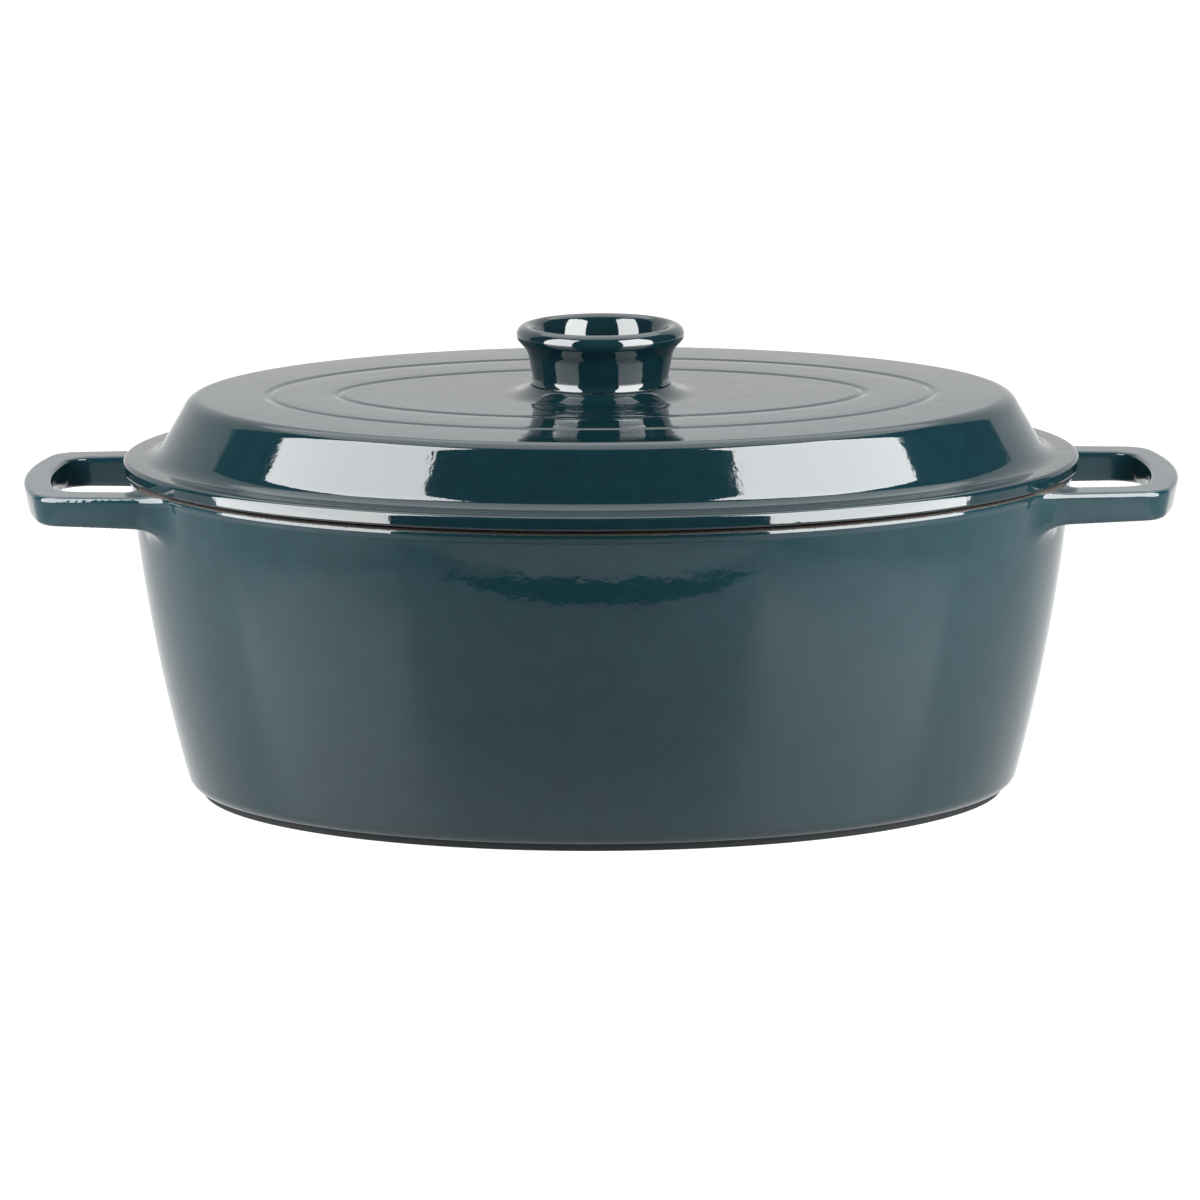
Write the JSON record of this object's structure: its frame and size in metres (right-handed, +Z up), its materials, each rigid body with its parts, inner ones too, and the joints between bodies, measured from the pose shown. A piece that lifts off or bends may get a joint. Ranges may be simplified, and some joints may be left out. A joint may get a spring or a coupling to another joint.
{
  "type": "dutch oven",
  "caption": "Oval enamelled cast iron cooking pot with loop handles, a flanged lift-off lid with a grooved flat top, and a hollow flared knob.",
  "frame": {"origin": "middle of the oval foot, on the plane the pot stands on", "axes": "+X along the pot's length towards one handle, -Y to the front, +Z up"},
  "size_m": [0.406, 0.2572, 0.1659],
  "materials": {
    "teal_enamel": "cast iron under glossy dark teal enamel outside, matt black enamel inside and on the rim",
    "stainless_steel": "turned stainless steel"
  },
  "bodies": {
    "pot": {"pot_body": "teal_enamel"},
    "lid": {"lid": "teal_enamel", "knob": "teal_enamel", "knob_screw": "stainless_steel", "knob_washer": "stainless_steel"}
  },
  "joints": [
    {"name": "lid_lift", "type": "slide", "parent": "pot", "child": "lid", "axis": [0, 0, 1], "range_m": [0, 0.15]}
  ]
}
